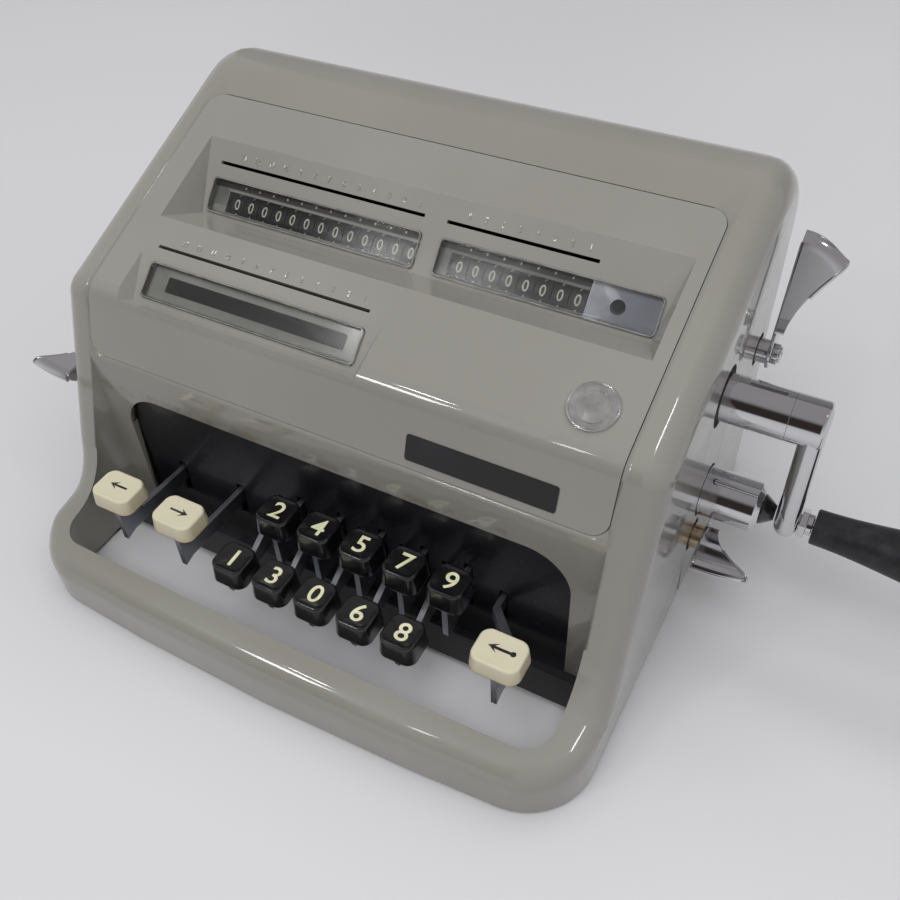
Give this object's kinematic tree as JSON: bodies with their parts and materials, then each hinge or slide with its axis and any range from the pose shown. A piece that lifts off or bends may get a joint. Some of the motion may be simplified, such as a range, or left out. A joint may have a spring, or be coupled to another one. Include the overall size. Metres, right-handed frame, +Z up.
{
  "type": "mechanical calculator",
  "caption": "Hand-cranked desk calculating machine in green-grey enamel, with a ten-key keyboard, number wheels behind three windows and chromed clearing levers.",
  "frame": {"origin": "middle of the box round the whole machine at rest, on the table that the feet stand on", "axes": "+X to the right as the user sees it, towards the crank; +Y from the user to the back; +Z up"},
  "size_m": [0.4, 0.2152, 0.1637],
  "materials": {
    "paint": "green-grey gloss enamel",
    "panel_paint": "green-grey gloss enamel, a little lighter",
    "black_plate": "black satin enamel",
    "cream_plastic": "cream, glossy, slightly yellowed",
    "black_plastic": "black, glossy",
    "wheel_plastic": "black with white figures",
    "lens": "clear acrylic",
    "rubber": "matt black",
    "badge_metal": "pressed, satin",
    "bright_plate": "satin",
    "pale_mask": "pale grey",
    "chrome": "polished",
    "steel": "bare"
  },
  "bodies": {
    "body": {"housing": "paint", "base_plate": "steel", "feet": "rubber", "base_screws": "steel", "register_panel": "panel_paint", "badge": "badge_metal", "result_window": "lens", "counter_window": "lens", "setting_window": "lens", "register_mask": "pale_mask", "counter_plate": "bright_plate", "setting_mask": "pale_mask", "keyboard_plate": "black_plate", "key_bar": "black_plate", "side_plate": "paint", "frame": "steel", "key_shaft": "steel", "wheel_shaft": "steel", "rest_tube": "chrome"},
    "crank": {"crank_tube": "chrome", "crank_arm": "chrome", "grip_spindle": "chrome"},
    "grip": {"crank_grip": "black_plastic"},
    "rotor": {"rotor": "steel"},
    "rest_tip": {"rest_tip": "black_plastic"},
    "upper_lever": {"upper_hub": "chrome", "upper_lever": "chrome"},
    "lower_lever": {"lower_hub": "chrome", "lower_lever": "chrome"},
    "left_lever": {"left_hub": "chrome", "left_lever": "chrome"},
    "result_wheels": {"result_wheels": "wheel_plastic"},
    "counter_wheels": {"counter_wheels": "wheel_plastic"},
    "counter_units_wheel": {"counter_units_wheel": "wheel_plastic"},
    "key_1": {"cap_1": "black_plastic", "lever_1": "steel"},
    "key_3": {"cap_3": "black_plastic", "lever_3": "steel"},
    "key_0": {"cap_0": "black_plastic", "lever_0": "steel"},
    "key_6": {"cap_6": "black_plastic", "lever_6": "steel"},
    "key_8": {"cap_8": "black_plastic", "lever_8": "steel"},
    "key_2": {"cap_2": "black_plastic", "lever_2": "steel"},
    "key_4": {"cap_4": "black_plastic", "lever_4": "steel"},
    "key_5": {"cap_5": "black_plastic", "lever_5": "steel"},
    "key_7": {"cap_7": "black_plastic", "lever_7": "steel"},
    "key_9": {"cap_9": "black_plastic", "lever_9": "steel"},
    "key_left": {"cap_left": "cream_plastic", "lever_left": "steel"},
    "key_right": {"cap_right": "cream_plastic", "lever_right": "steel"},
    "key_return": {"cap_return": "cream_plastic", "lever_return": "steel"}
  },
  "joints": [
    {"name": "crank_turn", "type": "hinge", "parent": "body", "child": "crank", "pos_m": [0.08, 0.02735, 0.1013], "axis": [1, 0, 0], "continuous": true},
    {"name": "grip_spin", "type": "hinge", "parent": "crank", "child": "grip", "pos_m": [0.122, 0.02735, 0.0526], "axis": [1, 0, 0], "continuous": true},
    {"name": "rotor_turn", "type": "hinge", "parent": "body", "child": "rotor", "pos_m": [-0.045, 0.02375, 0.07757], "axis": [1, 0, 0], "continuous": true},
    {"name": "result_wheels_turn", "type": "hinge", "parent": "body", "child": "result_wheels", "pos_m": [-0.045, 0.02866, 0.12275], "axis": [1, 0, 0], "continuous": true},
    {"name": "counter_wheels_turn", "type": "hinge", "parent": "body", "child": "counter_wheels", "pos_m": [-0.045, 0.02866, 0.12275], "axis": [1, 0, 0], "continuous": true},
    {"name": "counter_units_turn", "type": "hinge", "parent": "body", "child": "counter_units_wheel", "pos_m": [0.02395, 0.02866, 0.12275], "axis": [1, 0, 0], "continuous": true},
    {"name": "rest_tip_slide", "type": "slide", "parent": "body", "child": "rest_tip", "axis": [-1, 0, 0], "range_m": [0, 0.004], "stiffness_N_per_m": 600, "springref_m": -0.003},
    {"name": "upper_lever_pull", "type": "hinge", "parent": "body", "child": "upper_lever", "pos_m": [0.08, 0.07965, 0.0844], "axis": [1, 0, 0], "range_deg": [0, 40], "stiffness_Nm_per_rad": 0.2, "springref_deg": -17.19},
    {"name": "lower_lever_press", "type": "hinge", "parent": "body", "child": "lower_lever", "pos_m": [0.08, 0.02035, 0.033], "axis": [1, 0, 0], "range_deg": [0, 35], "stiffness_Nm_per_rad": 0.2, "springref_deg": -17.19},
    {"name": "left_lever_press", "type": "hinge", "parent": "body", "child": "left_lever", "pos_m": [-0.17, -0.02845, 0.0667], "axis": [1, 0, 0], "range_deg": [0, 35], "stiffness_Nm_per_rad": 0.2, "springref_deg": -17.19},
    {"name": "key_1_press", "type": "hinge", "parent": "body", "child": "key_1", "pos_m": [-0.0728, -0.00815, 0.045], "axis": [1, 0, 0], "range_deg": [0, 5], "stiffness_Nm_per_rad": 0.6, "springref_deg": -8.59},
    {"name": "key_3_press", "type": "hinge", "parent": "body", "child": "key_3", "pos_m": [-0.0538, -0.00815, 0.045], "axis": [1, 0, 0], "range_deg": [0, 5], "stiffness_Nm_per_rad": 0.6, "springref_deg": -8.59},
    {"name": "key_0_press", "type": "hinge", "parent": "body", "child": "key_0", "pos_m": [-0.0348, -0.00815, 0.045], "axis": [1, 0, 0], "range_deg": [0, 5], "stiffness_Nm_per_rad": 0.6, "springref_deg": -8.59},
    {"name": "key_6_press", "type": "hinge", "parent": "body", "child": "key_6", "pos_m": [-0.0158, -0.00815, 0.045], "axis": [1, 0, 0], "range_deg": [0, 5], "stiffness_Nm_per_rad": 0.6, "springref_deg": -8.59},
    {"name": "key_8_press", "type": "hinge", "parent": "body", "child": "key_8", "pos_m": [0.0032, -0.00815, 0.045], "axis": [1, 0, 0], "range_deg": [0, 5], "stiffness_Nm_per_rad": 0.6, "springref_deg": -8.59},
    {"name": "key_2_press", "type": "hinge", "parent": "body", "child": "key_2", "pos_m": [-0.0633, -0.00815, 0.045], "axis": [1, 0, 0], "range_deg": [0, 5], "stiffness_Nm_per_rad": 0.6, "springref_deg": -8.59},
    {"name": "key_4_press", "type": "hinge", "parent": "body", "child": "key_4", "pos_m": [-0.0443, -0.00815, 0.045], "axis": [1, 0, 0], "range_deg": [0, 5], "stiffness_Nm_per_rad": 0.6, "springref_deg": -8.59},
    {"name": "key_5_press", "type": "hinge", "parent": "body", "child": "key_5", "pos_m": [-0.0253, -0.00815, 0.045], "axis": [1, 0, 0], "range_deg": [0, 5], "stiffness_Nm_per_rad": 0.6, "springref_deg": -8.59},
    {"name": "key_7_press", "type": "hinge", "parent": "body", "child": "key_7", "pos_m": [-0.0063, -0.00815, 0.045], "axis": [1, 0, 0], "range_deg": [0, 5], "stiffness_Nm_per_rad": 0.6, "springref_deg": -8.59},
    {"name": "key_9_press", "type": "hinge", "parent": "body", "child": "key_9", "pos_m": [0.0127, -0.00815, 0.045], "axis": [1, 0, 0], "range_deg": [0, 5], "stiffness_Nm_per_rad": 0.6, "springref_deg": -8.59},
    {"name": "key_left_press", "type": "hinge", "parent": "body", "child": "key_left", "pos_m": [-0.1258, -0.00815, 0.045], "axis": [1, 0, 0], "range_deg": [0, 5], "stiffness_Nm_per_rad": 0.6, "springref_deg": -8.59},
    {"name": "key_right_press", "type": "hinge", "parent": "body", "child": "key_right", "pos_m": [-0.0954, -0.00815, 0.045], "axis": [1, 0, 0], "range_deg": [0, 5], "stiffness_Nm_per_rad": 0.6, "springref_deg": -8.59},
    {"name": "key_return_press", "type": "hinge", "parent": "body", "child": "key_return", "pos_m": [0.0274, -0.00815, 0.045], "axis": [1, 0, 0], "range_deg": [0, 5], "stiffness_Nm_per_rad": 0.6, "springref_deg": -8.59}
  ],
  "couplings": [
    {"joint": "rotor_turn", "follows": "crank_turn", "ratio": -1},
    {"joint": "counter_units_turn", "follows": "crank_turn", "ratio": 0.1}
  ]
}
